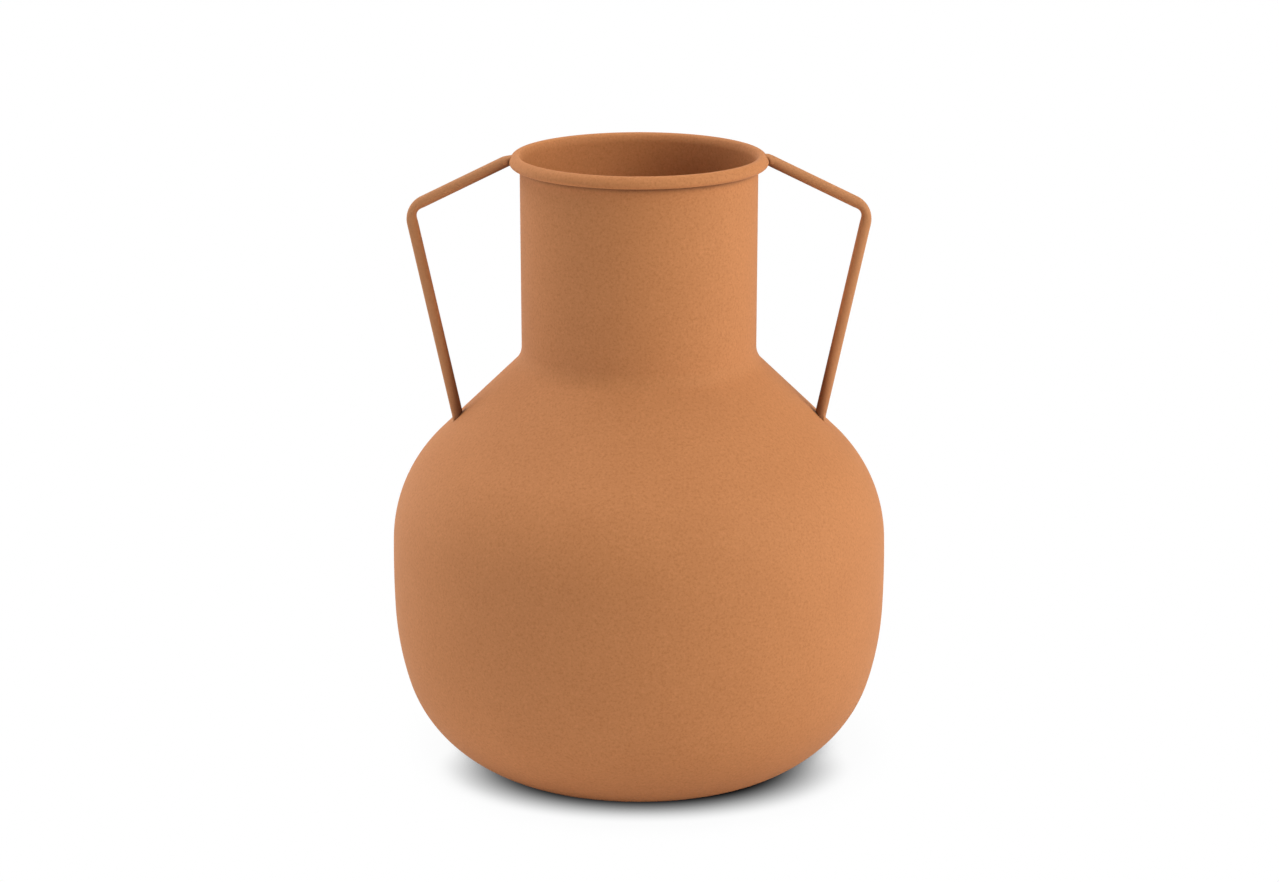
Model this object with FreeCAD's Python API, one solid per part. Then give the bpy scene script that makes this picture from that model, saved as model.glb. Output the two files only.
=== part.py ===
import FreeCAD, Part
import math
import os

# A spun sheet-metal urn vase: a bowl, a shoulder, a wired neck and two rod handles, welded together.
# Millimetres, +Z up. The origin is the centre of the flat base, and the handles stand along +X and -X.

# Stock that the vase is made from
SHEET = 0.9
RIM_WIRE_DIAMETER = 2.8
ROD_DIAMETER = 4.5

# Turned outline of the body, named from the belly down to the foot and up to the neck
BODY_DIAMETER = 200.0
WALL_RADIUS = 411.0
HAUNCH_RADIUS = 121.6
HEEL_RADIUS = 51.7
TOE_RADIUS = 20.0
SHOULDER_RADIUS = 57.6
COLLAR_RADIUS = 11.0
NECK_DIAMETER = 94.0
NECK_LENGTH = 73.6

# Angles, in degrees from level, where one curve of the outline hands over to the next
WALL_ANGLE_BELOW = 2.2
HAUNCH_ANGLE = 16.2
HEEL_ANGLE = 60.2
SEAM_ANGLE = 1.9
SHOULDER_ANGLE = 45.8
CURL_TURN = 300.0

# Handles: where the centre line of the rod has its corner, from the belly's width and from the rim,
# and how the corner is bent
HANDLE_INSET = 9.1
HANDLE_DROP = 19.4
BEND_OUTER_RADIUS = 10.2
BEND_PINCH = 0.8
BEND_SPREAD = 0.2
BEND_SECTION_SHARES = (0.25, 0.5, 0.75)
FOOT_SHARE = 0.71

# Joints between the pieces
WIRE_CLEARANCE = 0.15
SEAM_GAP = 1.2
SEAM_CROWN = 0.4
ROD_COPE_DEPTH = 0.8
RIM_WELD_RADIUS = 2.7
RIM_WELD_RISE = 0.1
FOOT_WELD_RADIUS = 3.1
FOOT_WELD_SHIFT = 1.2

# Every cut tool and trimmed end runs past what it cuts by this much
OVERRUN = 4.0

AXIS_BASE = FreeCAD.Vector(0, 0, 0)
UP = FreeCAD.Vector(0, 0, 1)
ACROSS = FreeCAD.Vector(0, 1, 0)


def on_circle(centre, radius, angle):
    """Point of a circle in the X-Z plane, at an angle measured from +X towards +Z."""
    turn = math.radians(angle)
    return centre + FreeCAD.Vector(radius * math.cos(turn), 0, radius * math.sin(turn))


def arc(centre, radius, start, end):
    """Arc of such a circle, drawn from one angle to the other."""
    middle = (start + end) / 2
    points = [on_circle(centre, radius, angle) for angle in (start, middle, end)]
    return Part.Arc(*points).toShape()


def line(start, end):
    return Part.makeLine(start, end)


def at(radius, height):
    """Point at a radius from the axis and a height over the base."""
    return FreeCAD.Vector(radius, 0, height)


def turned(edges):
    """Solid of revolution about the axis of the vase, from the closed outline of its section."""
    face = Part.Face(Part.Wire(Part.__sortEdges__(edges)))
    return face.revolve(AXIS_BASE, UP, 360)


# Heights, centres and meeting points of the outline, all worked out from the sizes above

rod_radius = ROD_DIAMETER / 2
body_radius = BODY_DIAMETER / 2
neck_radius = NECK_DIAMETER / 2


def rise_of(radius, low_angle, high_angle):
    """Height that an arc gains between two of its angles."""
    return radius * (math.sin(math.radians(high_angle)) - math.sin(math.radians(low_angle)))


belly_height = (
    rise_of(WALL_RADIUS, 0, WALL_ANGLE_BELOW)
    + rise_of(HAUNCH_RADIUS, WALL_ANGLE_BELOW, HAUNCH_ANGLE)
    + rise_of(HEEL_RADIUS, HAUNCH_ANGLE, HEEL_ANGLE)
    + rise_of(TOE_RADIUS, HEEL_ANGLE, 90)
)

wall_centre = at(body_radius - WALL_RADIUS, belly_height)
haunch_centre = on_circle(wall_centre, WALL_RADIUS - HAUNCH_RADIUS, -WALL_ANGLE_BELOW)
heel_centre = on_circle(haunch_centre, HAUNCH_RADIUS - HEEL_RADIUS, -HAUNCH_ANGLE)
toe_centre = on_circle(heel_centre, HEEL_RADIUS - TOE_RADIUS, -HEEL_ANGLE)
shoulder_centre = on_circle(wall_centre, WALL_RADIUS - SHOULDER_RADIUS, SEAM_ANGLE)

# The seam weld fills the last stretch of the wall under the shoulder
seam_start_angle = SEAM_ANGLE - math.degrees(SEAM_GAP / WALL_RADIUS)

# The straight slope of the shoulder runs on, level with its tangent, into the collar under the neck
slope_normal = on_circle(AXIS_BASE, 1, SHOULDER_ANGLE)
slope_foot = on_circle(shoulder_centre, SHOULDER_RADIUS, SHOULDER_ANGLE)
collar_radius_out = neck_radius + COLLAR_RADIUS
slope_reach = slope_normal.dot(slope_foot) + COLLAR_RADIUS
collar_top = (slope_reach - slope_normal.x * collar_radius_out) / slope_normal.z
collar_centre = at(collar_radius_out, collar_top)
slope_head = on_circle(collar_centre, COLLAR_RADIUS, 180 + SHOULDER_ANGLE)

# The rim: the neck's own sheet, curled outwards round a wire
neck_foot = collar_top + SEAM_GAP
rim_height = neck_foot + NECK_LENGTH
curl_inner_radius = RIM_WIRE_DIAMETER / 2 + WIRE_CLEARANCE
curl_outer_radius = curl_inner_radius + SHEET
rim_centre = at(neck_radius + curl_inner_radius, rim_height)
curl_end_angle = 180 - CURL_TURN


def shoulder_skin(depth):
    """Edges of the shoulder and its collar, at a depth under the outer surface, bottom to top."""
    slope_start = on_circle(shoulder_centre, SHOULDER_RADIUS - depth, SHOULDER_ANGLE)
    slope_end = on_circle(collar_centre, COLLAR_RADIUS + depth, 180 + SHOULDER_ANGLE)
    return [
        arc(shoulder_centre, SHOULDER_RADIUS - depth, SEAM_ANGLE, SHOULDER_ANGLE),
        line(slope_start, slope_end),
        arc(collar_centre, COLLAR_RADIUS + depth, 180 + SHOULDER_ANGLE, 180),
    ]


def bowl_skin(depth):
    """Edges of the bowl, from the centre of its flat base up to the seam."""
    base_centre = at(0, depth)
    base_edge = on_circle(toe_centre, TOE_RADIUS - depth, -90)
    return [
        line(base_centre, base_edge),
        arc(toe_centre, TOE_RADIUS - depth, -90, -HEEL_ANGLE),
        arc(heel_centre, HEEL_RADIUS - depth, -HEEL_ANGLE, -HAUNCH_ANGLE),
        arc(haunch_centre, HAUNCH_RADIUS - depth, -HAUNCH_ANGLE, -WALL_ANGLE_BELOW),
        arc(wall_centre, WALL_RADIUS - depth, -WALL_ANGLE_BELOW, seam_start_angle),
    ]


def lower_bowl():
    """Spun bowl: the flat base, the rounded heel and the wall up to the seam."""
    seam_outside = on_circle(wall_centre, WALL_RADIUS, seam_start_angle)
    seam_inside = on_circle(wall_centre, WALL_RADIUS - SHEET, seam_start_angle)
    ends = [line(seam_outside, seam_inside), line(at(0, 0), at(0, SHEET))]
    return turned(bowl_skin(0) + bowl_skin(SHEET) + ends)


def shoulder_dome():
    """Spun upper half: the rounded shoulder, its slope and the collar drawn up for the neck."""
    seam_outside = on_circle(shoulder_centre, SHOULDER_RADIUS, SEAM_ANGLE)
    seam_inside = on_circle(shoulder_centre, SHOULDER_RADIUS - SHEET, SEAM_ANGLE)
    collar_outside = at(neck_radius, collar_top)
    collar_inside = at(neck_radius - SHEET, collar_top)
    ends = [line(seam_outside, seam_inside), line(collar_outside, collar_inside)]
    return turned(shoulder_skin(0) + shoulder_skin(SHEET) + ends)


def neck_tube():
    """Neck with its top edge curled outwards and back under, ready to hold the rim wire."""
    inside = neck_radius - SHEET
    curl_lip_outer = on_circle(rim_centre, curl_outer_radius, curl_end_angle)
    curl_lip_inner = on_circle(rim_centre, curl_inner_radius, curl_end_angle)
    edges = [
        line(at(neck_radius, neck_foot), at(inside, neck_foot)),
        line(at(inside, neck_foot), at(inside, rim_height)),
        arc(rim_centre, curl_outer_radius, 180, curl_end_angle),
        line(curl_lip_outer, curl_lip_inner),
        arc(rim_centre, curl_inner_radius, curl_end_angle, 180),
        line(at(neck_radius, rim_height), at(neck_radius, neck_foot)),
    ]
    return turned(edges)


def rim_wire():
    """Round wire closed into a ring inside the curl."""
    return Part.makeTorus(rim_centre.x, RIM_WIRE_DIAMETER / 2, at(0, rim_height), UP)


def belly_weld():
    """Weld between bowl and shoulder: ground flush outside, a low crown left inside."""
    middle_angle = (seam_start_angle + SEAM_ANGLE) / 2
    low_inside = on_circle(wall_centre, WALL_RADIUS - SHEET, seam_start_angle)
    crown = on_circle(wall_centre, WALL_RADIUS - SHEET - SEAM_CROWN, middle_angle)
    high_inside = on_circle(wall_centre, WALL_RADIUS - SHEET, SEAM_ANGLE)
    edges = [
        arc(wall_centre, WALL_RADIUS, seam_start_angle, SEAM_ANGLE),
        line(on_circle(wall_centre, WALL_RADIUS, SEAM_ANGLE), high_inside),
        Part.Arc(high_inside, crown, low_inside).toShape(),
        line(low_inside, on_circle(wall_centre, WALL_RADIUS, seam_start_angle)),
    ]
    return turned(edges)


def neck_weld():
    """Weld between collar and neck, dressed flush on both sides."""
    outside = Part.makeCylinder(neck_radius, SEAM_GAP, at(0, collar_top), UP)
    bore_height = SEAM_GAP + 2 * OVERRUN
    bore = Part.makeCylinder(neck_radius - SHEET, bore_height, at(0, collar_top - OVERRUN), UP)
    return outside.cut(bore)


# What the handles and their welds are trimmed against


def shoulder_core():
    """The shoulder filled solid to the axis, as a cut tool."""
    seam_height = on_circle(shoulder_centre, SHOULDER_RADIUS, SEAM_ANGLE).z
    edges = shoulder_skin(0) + [
        line(at(neck_radius, collar_top), at(0, collar_top)),
        line(at(0, collar_top), at(0, seam_height)),
        line(at(0, seam_height), on_circle(shoulder_centre, SHOULDER_RADIUS, SEAM_ANGLE)),
    ]
    return turned(edges)


def rim_core():
    """The rim bead filled solid, as a cut tool."""
    return Part.makeTorus(rim_centre.x, curl_outer_radius, at(0, rim_height), UP)


# The handle on the +X side: its axis lies in the X-Z plane

rim_joint = at(rim_centre.x + curl_outer_radius, rim_height)
corner = at(body_radius - HANDLE_INSET, rim_height - HANDLE_DROP)
foot_joint = slope_head + (slope_foot - slope_head) * FOOT_SHARE


def unit(vector):
    return vector / vector.Length


upper_run = unit(corner - rim_joint)
lower_run = unit(foot_joint - corner)
half_turn = upper_run.getAngle(lower_run) / 2
bend_side = unit(upper_run - lower_run)
bend_setback = (BEND_OUTER_RADIUS - rod_radius) * math.tan(half_turn)
bend_start = corner - upper_run * bend_setback
bend_end = corner + lower_run * bend_setback


def out_of_bend(run):
    """Unit vector square to a run, in the handle's plane, pointing out of the corner."""
    return run.cross(ACROSS)


def round_section(centre, run):
    """Section of the plain rod, square to its run."""
    circle = Part.Circle(centre, run, rod_radius)
    circle.XAxis = ACROSS
    return Part.Wire(circle.toShape())


def oval_section(centre, outward, thickness, width):
    """Section of the pinched rod, with its thickness measured towards the outside of the bend."""
    side_point = centre + ACROSS * (width / 2)
    outer_point = centre + outward * (thickness / 2)
    return Part.Wire(Part.Ellipse(side_point, outer_point, centre).toShape())


def handle_bend():
    """Corner of the rod, pinched thinner and spread wider towards the middle of the turn."""
    bend_centre = corner - bend_side * ((BEND_OUTER_RADIUS - rod_radius) / math.cos(half_turn))
    first = out_of_bend(upper_run)
    last = out_of_bend(lower_run)
    first_angle = math.degrees(math.atan2(first.z, first.x))
    last_angle = math.degrees(math.atan2(last.z, last.x))
    sections = [round_section(bend_start, upper_run)]
    for share in BEND_SECTION_SHARES:
        angle = first_angle + (last_angle - first_angle) * share
        ease = math.sin(math.pi * share) ** 2
        thickness = ROD_DIAMETER - BEND_PINCH * ease
        width = ROD_DIAMETER + BEND_SPREAD * ease
        centre = on_circle(bend_centre, BEND_OUTER_RADIUS - thickness / 2, angle)
        outward = on_circle(AXIS_BASE, 1, angle)
        sections.append(oval_section(centre, outward, thickness, width))
    sections.append(round_section(bend_end, lower_run))
    return Part.makeLoft(sections, True, False)


def straight_run(start, end):
    return Part.makeCylinder(rod_radius, (end - start).Length, start, unit(end - start))


def whole_rod():
    """The bent rod before its ends are shaped to the rim and the shoulder."""
    rim_end = rim_joint - upper_run * ROD_COPE_DEPTH
    foot_end = foot_joint + lower_run * OVERRUN
    top = straight_run(rim_end, bend_start)
    side = straight_run(bend_end, foot_end)
    return top.fuse([handle_bend(), side])


def handle():
    return whole_rod().cut([rim_core(), shoulder_core()])


def rim_weld():
    """Weld metal round the rod's upper end, heaped on top and open below."""
    blob = Part.makeSphere(RIM_WELD_RADIUS, rim_joint + UP * RIM_WELD_RISE)
    return blob.cut([rim_core(), whole_rod()])


def foot_weld():
    """Weld metal round the rod's foot, mostly on its outer side."""
    away = FreeCAD.Vector(FOOT_WELD_SHIFT, 0, 0)
    blob = Part.makeSphere(FOOT_WELD_RADIUS, foot_joint + away)
    return blob.cut([shoulder_core(), whole_rod()])


def write(name, shape):
    shape.exportStep("parts/" + name + ".step")
    print(name, "solids", len(shape.Solids), "valid", shape.isValid(), "volume", round(shape.Volume, 2))


def main():
    os.makedirs("parts", exist_ok=True)
    write("lower_bowl", lower_bowl())
    write("shoulder_dome", shoulder_dome())
    write("belly_weld", belly_weld())
    write("neck_tube", neck_tube())
    write("neck_weld", neck_weld())
    write("rim_wire", rim_wire())
    for name, shape in (("handle", handle()), ("rim_weld", rim_weld()), ("foot_weld", foot_weld())):
        write("right_" + name, shape)
        write("left_" + name, shape.mirror(AXIS_BASE, FreeCAD.Vector(1, 0, 0)))
    print("rim height", round(rim_height, 3), "collar top", round(collar_top, 3))
    print("base radius", round(toe_centre.x, 3), "foot joint", foot_joint)


main()
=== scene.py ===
import math
from types import SimpleNamespace

import bmesh
import bpy
from bpy.props import FloatProperty, FloatVectorProperty, IntProperty, PointerProperty
from bpy.types import Operator, Panel, PropertyGroup
from mathutils import Matrix, Vector


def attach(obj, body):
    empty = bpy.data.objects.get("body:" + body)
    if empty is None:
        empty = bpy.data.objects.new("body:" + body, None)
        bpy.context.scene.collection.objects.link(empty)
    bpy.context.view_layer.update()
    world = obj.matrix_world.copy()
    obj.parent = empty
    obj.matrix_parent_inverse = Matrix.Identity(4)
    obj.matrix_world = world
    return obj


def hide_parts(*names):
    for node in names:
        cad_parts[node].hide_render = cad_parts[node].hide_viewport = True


bl_info = {
    "name": "Urn Vase",
    "version": (1, 0, 0),
    "blender": (4, 5, 0),
    "location": "3D View > Sidebar > Urn Vase",
    "description": "Dresses the packed urn vase in its powder coat and sets up a soft white studio",
    "category": "Object",
}

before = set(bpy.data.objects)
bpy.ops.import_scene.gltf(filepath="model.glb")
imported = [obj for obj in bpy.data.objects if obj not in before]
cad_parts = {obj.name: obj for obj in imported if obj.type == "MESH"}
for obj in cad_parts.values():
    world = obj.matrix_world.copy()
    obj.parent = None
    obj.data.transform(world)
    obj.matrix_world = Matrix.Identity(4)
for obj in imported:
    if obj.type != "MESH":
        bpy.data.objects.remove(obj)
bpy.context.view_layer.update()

ORIGIN = Vector((0, 0, 0))
UP = Vector((0, 0, 1))
ACROSS = Vector((0, 1, 0))
FULL_TURN = 2 * math.pi
QUARTER_TURN = math.pi / 2

# Tolerances in metres, and the angle from which an edge is drawn sharp
SAME_POINT = 1e-7
SAME_PLANE = 1e-6
SHARP_EDGE = math.radians(40)

# Faces along the straight stretches of a section
BASE_PARTS = 12
INNER_BASE_PARTS = 6
SLOPE_PARTS = 24
INNER_SLOPE_PARTS = 12
NECK_PARTS = 16
THIN_PARTS = 2

# How many times finer than the arc step an arc is drawn, or coarser on the inner side
COLLAR_FINER = 3
INNER_COLLAR_FINER = 2
RIM_FINER = 5
CROWN_FINER = 8
INNER_COARSER = 2

# Fewest edges of an arc
FEWEST_STEPS = 3


# Properties: the sizes and colours that a user would change


def count(name, description, default, low):
    return IntProperty(name=name, description=description, default=default, min=low)


def length(name, description, default):
    return FloatProperty(
        name=name,
        description=description,
        default=default,
        precision=5,
        subtype="DISTANCE",
        unit="LENGTH",
    )


def angle(name, description, degrees):
    return FloatProperty(
        name=name,
        description=description,
        default=math.radians(degrees),
        subtype="ANGLE",
        unit="ROTATION",
    )


def share(name, description, default, high=1.0):
    return FloatProperty(
        name=name, description=description, default=default, min=0.0, max=high, subtype="FACTOR"
    )


def colour(name, description, default):
    return FloatVectorProperty(
        name=name,
        description=description,
        default=default,
        size=4,
        min=0.0,
        max=1.0,
        subtype="COLOR",
    )


def power(name, description, default):
    return FloatProperty(name=name, description=description, default=default, min=0.0)


class UrnBodySizes(PropertyGroup):
    """Sizes of the turned body, as the solids have them."""

    sheet: length("Sheet", "Thickness of the coated sheet", 0.0009)
    belly_radius: length("Belly Radius", "Radius of the belly at its widest", 0.100)
    wall_radius: length("Wall Arc", "Radius of the nearly straight wall in section", 0.411)
    haunch_radius: length("Haunch Arc", "Radius of the lower belly in section", 0.1216)
    heel_radius: length("Heel Arc", "Radius of the heel in section", 0.0517)
    toe_radius: length("Toe Arc", "Radius where the heel runs into the flat base", 0.020)
    shoulder_radius: length("Shoulder Arc", "Radius of the round shoulder in section", 0.0576)
    collar_radius: length("Collar Arc", "Radius where the slope turns up into the neck", 0.011)
    neck_radius: length("Neck Radius", "Radius of the neck outside", 0.047)
    neck_length: length("Neck Length", "From the neck's weld to the middle of the rim bead", 0.0736)
    wire_radius: length("Rim Wire Radius", "Radius of the wire inside the rim", 0.0014)
    wire_room: length("Wire Room", "Clearance between the wire and the curl", 0.00015)
    seam_gap: length("Seam Gap", "Height of each ring weld", 0.0012)
    seam_crown: length("Seam Crown", "How far the belly weld stands proud inside", 0.0004)
    wall_angle: angle("Wall Angle", "Where the wall hands over to the lower belly", 2.2)
    haunch_angle: angle("Haunch Angle", "Where the lower belly hands over to the heel", 16.2)
    heel_angle: angle("Heel Angle", "Where the heel hands over to the toe", 60.2)
    seam_angle: angle("Seam Angle", "Where the wall hands over to the shoulder", 1.9)
    shoulder_angle: angle("Shoulder Angle", "Where the shoulder turns into its slope", 45.8)
    curl_sheet: length("Curl Sheet", "Thickness of the sheet, stretched round the curl", 0.0008)
    arc_step: length("Arc Step", "Longest edge along an arc of the section", 0.0016)
    turn_steps: count("Turn Steps", "Faces around the body", 240, 24)


class UrnHandleSizes(PropertyGroup):
    """Sizes of the two bent rods and of their welds."""

    rod_radius: length("Rod Radius", "Radius of the coated rod", 0.00225)
    inset: length("Corner Inset", "From the belly's width in to the rod's corner", 0.0091)
    drop: length("Corner Drop", "From the rim down to the rod's corner", 0.0194)
    bend_radius: length("Bend Radius", "Outer radius of the bend", 0.0102)
    bend_pinch: length("Bend Pinch", "How much thinner the rod is in the bend", 0.0008)
    bend_spread: length("Bend Spread", "How much wider the rod is in the bend", 0.0002)
    foot_share: share("Foot Share", "How far down the slope the foot stands", 0.71)
    rim_setback: length("Rim Setback", "Room left between the rod's end and the bead", 0.0005)
    melt_length: length("Melt Length", "How far the left rod's upper side is melted", 0.0023)
    melt_angle: angle("Melt Angle", "Slope of the melted side against the rod", 17.0)
    foot_lift: angle("Foot Lift", "How far a rod's foot is cut open inside", 9.0)
    ring_steps: count("Ring Steps", "Faces around a rod", 40, 12)
    bend_steps: count("Bend Steps", "Faces along a bend", 24, 6)


class UrnCoatLook(PropertyGroup):
    """Colours and texture of the powder coat, the shade painted into its corners, and the bare
    wire.
    """

    tone: colour("Coat Colour", "Middle tone of the powder coat", (0.565, 0.231, 0.088, 1.0))
    rod_tone: colour("Rod Colour", "Middle tone of the coat on the rods", (0.53, 0.235, 0.102, 1.0))
    # Painted shade: the colour the coat is darkened towards in corners, in creases such as the one
    # under the rim bead, and on the rods' sides facing the body, and how near a surface must be for
    # it
    painted_corner_shade: colour("Painted Shade Colour", "Thin coat in the corners", (0.16, 0.066, 0.030, 1.0))
    corner_shade_reach: length("Crevice Reach", "How near a surface darkens the body and welds", 0.003)
    rod_shade_reach: length("Rod Shade Reach", "How near a surface darkens a rod", 0.035)
    speck: colour("Speck Colour", "Darker tone between the grains", (0.42, 0.155, 0.052, 1.0))
    bloom: colour("Bloom Colour", "Paler tone on top of the grains", (0.68, 0.290, 0.118, 1.0))
    roughness: share("Roughness", "Roughness of the coat", 0.72)
    gloss: share("Gloss", "Strength of the coat's reflection", 0.22)
    grain_size: length("Grain Size", "Pitch of the coat's grains", 0.0010)
    grain_height: length("Grain Height", "Relief of the grains", 0.00004)
    wire_tone: colour("Wire Colour", "Colour of the drawn wire", (0.42, 0.41, 0.40, 1.0))


class UrnStudio(PropertyGroup):
    """Camera, lights and floor."""

    camera_distance: length("Camera Distance", "From the vase's axis, along the floor", 1.1147)
    camera_height: length("Camera Height", "Height of the camera over the floor", 0.4502)
    camera_pitch: angle("Camera Pitch", "How far the camera looks down", 16.04)
    camera_lens: FloatProperty(
        name="Lens", description="Focal length on a 36 mm sensor", default=80.67, unit="CAMERA"
    )
    camera_shift: share("Camera Shift", "Shift of the view, in frame widths", 0.0004)
    world_strength: power("Room Light", "Strength of the even white room", 0.16)
    key_power: power("Key Light", "Large soft box in front on the right", 9.3)
    side_power: power("Side Light", "Low soft box straight on the right", 3.9)
    high_power: power("High Light", "High soft box behind on the left", 7.3)
    edge_power: power("Edge Light", "Low soft box behind on the left", 3.1)
    top_power: power("Top Light", "Large soft box overhead", 3.8)
    fill_power: power("Fill Light", "Low soft box in front on the left", 2.9)
    # Painted shadow on the floor: how near the vase must be for it
    shade_reach: length("Shade Reach", "How near the vase must be to shade the floor", 0.06)
    floor_bounce: share("Floor Bounce", "Colour of the floor for light bounced off it", 0.90)


# Small tools for the section of a turned piece, drawn in the X-Z plane


def polar(centre, radius, turn):
    """Point of a circle in the X-Z plane, its angle measured from +X towards +Z."""
    return centre + Vector((radius * math.cos(turn), 0, radius * math.sin(turn)))


def at(radius, height):
    return Vector((radius, 0, height))


def arc_on(bm, vert, centre, turn, longest):
    """Carry the last point of an outline round a centre, and give back the new last point."""
    steps = max(FEWEST_STEPS, math.ceil(abs(turn) * (vert.co - centre).length / longest))
    made = bmesh.ops.spin(bm, geom=[vert], cent=centre, axis=-ACROSS, angle=turn, steps=steps)
    return made["geom_last"][0]


def line_on(bm, vert, point, parts=1):
    """Draw an outline on to a point in a straight line, and give back the new last point."""
    step = (point - vert.co) / parts
    for _ in range(parts):
        vert = bmesh.ops.extrude_vert_indiv(bm, verts=[vert])["verts"][0]
        bmesh.ops.translate(bm, verts=[vert], vec=step)
    return vert


def turn_on_axis(bm, steps):
    """Turn the outline about the vase's axis."""
    geometry = bm.verts[:] + bm.edges[:]
    bmesh.ops.spin(
        bm, geom=geometry, cent=ORIGIN, axis=UP, angle=FULL_TURN, steps=steps, use_merge=True
    )


# Arcs of the rolled rim, from the neck's inner wall over the top and back under:
# radius in metres, turn in degrees

RIM_ARCS = ((0.0060, 28.0), (0.0019, 102.0), (0.0040, 37.0), (0.0018, 88.0), (0.0050, 29.0))


def rim_arcs(sizes, outline):
    """Centres and turns of the rim's arcs, and the way into the sheet at their end."""
    heading = QUARTER_TURN
    point = at(sizes.neck_radius - sizes.sheet, outline.flare_foot)
    arcs = []
    for radius, degrees in RIM_ARCS:
        centre = point + at(math.sin(heading), -math.cos(heading)) * radius
        heading -= math.radians(degrees)
        into_sheet = at(math.sin(heading), -math.cos(heading))
        point = centre - into_sheet * radius
        arcs.append((centre, math.radians(degrees)))
    return arcs, into_sheet


def body_outline(sizes):
    """Centres and meeting points of the body's arcs."""
    o = SimpleNamespace()
    stretches = (
        (sizes.wall_radius, 0.0, sizes.wall_angle),
        (sizes.haunch_radius, sizes.wall_angle, sizes.haunch_angle),
        (sizes.heel_radius, sizes.haunch_angle, sizes.heel_angle),
        (sizes.toe_radius, sizes.heel_angle, QUARTER_TURN),
    )
    belly_height = sum(r * (math.sin(high) - math.sin(low)) for r, low, high in stretches)
    o.wall = at(sizes.belly_radius - sizes.wall_radius, belly_height)
    o.haunch = polar(o.wall, sizes.wall_radius - sizes.haunch_radius, -sizes.wall_angle)
    o.heel = polar(o.haunch, sizes.haunch_radius - sizes.heel_radius, -sizes.haunch_angle)
    o.toe = polar(o.heel, sizes.heel_radius - sizes.toe_radius, -sizes.heel_angle)
    o.shoulder = polar(o.wall, sizes.wall_radius - sizes.shoulder_radius, sizes.seam_angle)
    o.seam_low_angle = sizes.seam_angle - sizes.seam_gap / sizes.wall_radius
    normal = polar(ORIGIN, 1, sizes.shoulder_angle)
    o.slope_low = polar(o.shoulder, sizes.shoulder_radius, sizes.shoulder_angle)
    collar_reach = sizes.neck_radius + sizes.collar_radius
    slope_reach = normal.dot(o.slope_low) + sizes.collar_radius
    o.collar_top = (slope_reach - normal.x * collar_reach) / normal.z
    o.collar = at(collar_reach, o.collar_top)
    o.slope_high = polar(o.collar, sizes.collar_radius, math.pi + sizes.shoulder_angle)
    o.slope_normal = normal
    o.neck_foot = o.collar_top + sizes.seam_gap
    o.rim_height = o.neck_foot + sizes.neck_length
    o.curl_in = sizes.wire_radius + sizes.wire_room
    o.curl_out = o.curl_in + sizes.sheet
    o.rim = at(sizes.neck_radius + o.curl_in, o.rim_height)
    (flare, degrees), (bend, _) = RIM_ARCS[:2]
    part = math.sin(math.radians(degrees))
    o.flare_foot = o.rim_height + o.curl_out - flare * part - bend * (1 - part)
    return o


def handle_line(body, sizes, outline):
    """Ends, corner and bend of the right handle's centre line."""
    h = SimpleNamespace()
    h.rim_joint = at(outline.rim.x + outline.curl_out, outline.rim_height)
    h.corner = at(body.belly_radius - sizes.inset, outline.rim_height - sizes.drop)
    h.foot_joint = outline.slope_high.lerp(outline.slope_low, sizes.foot_share)
    h.upper = (h.corner - h.rim_joint).normalized()
    h.lower = (h.foot_joint - h.corner).normalized()
    h.turn = h.upper.angle(h.lower)
    inner = sizes.bend_radius - sizes.rod_radius
    setback = inner * math.tan(h.turn / 2)
    h.bend_start = h.corner - h.upper * setback
    h.bend_end = h.corner + h.lower * setback
    outward = (h.upper - h.lower).normalized()
    h.bend_centre = h.corner - outward * (inner / math.cos(h.turn / 2))
    return h


# Small tools for rods and welds


def facing(run, outward, centre):
    """Frame with its Z along a run and its X pointing outward."""
    side = run.cross(outward).normalized()
    turned = Matrix((side.cross(run), side, run)).transposed().to_4x4()
    return Matrix.Translation(centre) @ turned


def outward_of(run):
    """Direction square to a run in the handle's plane, pointing out of the corner."""
    return run.cross(ACROSS).normalized()


def first_ring(bm, radius, steps, place):
    made = bmesh.ops.create_circle(bm, cap_ends=False, radius=radius, segments=steps, matrix=place)
    verts = made["verts"]
    edges = list({edge for vert in verts for edge in vert.link_edges})
    return verts, edges


def next_ring(bm, edges, step):
    """Extrude a ring and move it along."""
    made = bmesh.ops.extrude_edge_only(bm, edges=edges)["geom"]
    verts = [item for item in made if isinstance(item, bmesh.types.BMVert)]
    edges = [
        item
        for item in made
        if isinstance(item, bmesh.types.BMEdge) and all(vert in verts for vert in item.verts)
    ]
    bmesh.ops.translate(bm, verts=verts, vec=step)
    return verts, edges


def in_plane(bm, place, reach, tolerance):
    """Vertices in a frame's X-Y plane, no further than a reach from its origin."""
    into = place.inverted()
    return [
        vert
        for vert in bm.verts
        if abs((into @ vert.co).z) < tolerance and (vert.co - place.translation).length < reach
    ]


def cut_off(bm, point, normal):
    """Cut away what lies past a plane, and close the cut."""
    cut = bmesh.ops.bisect_plane(
        bm,
        geom=bm.verts[:] + bm.edges[:] + bm.faces[:],
        plane_co=point,
        plane_no=normal,
        clear_outer=True,
    )
    rim = [item for item in cut["geom_cut"] if isinstance(item, bmesh.types.BMEdge)]
    bmesh.ops.contextual_create(bm, geom=rim)


# Pieces: finishing, and the left one of a pair


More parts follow.
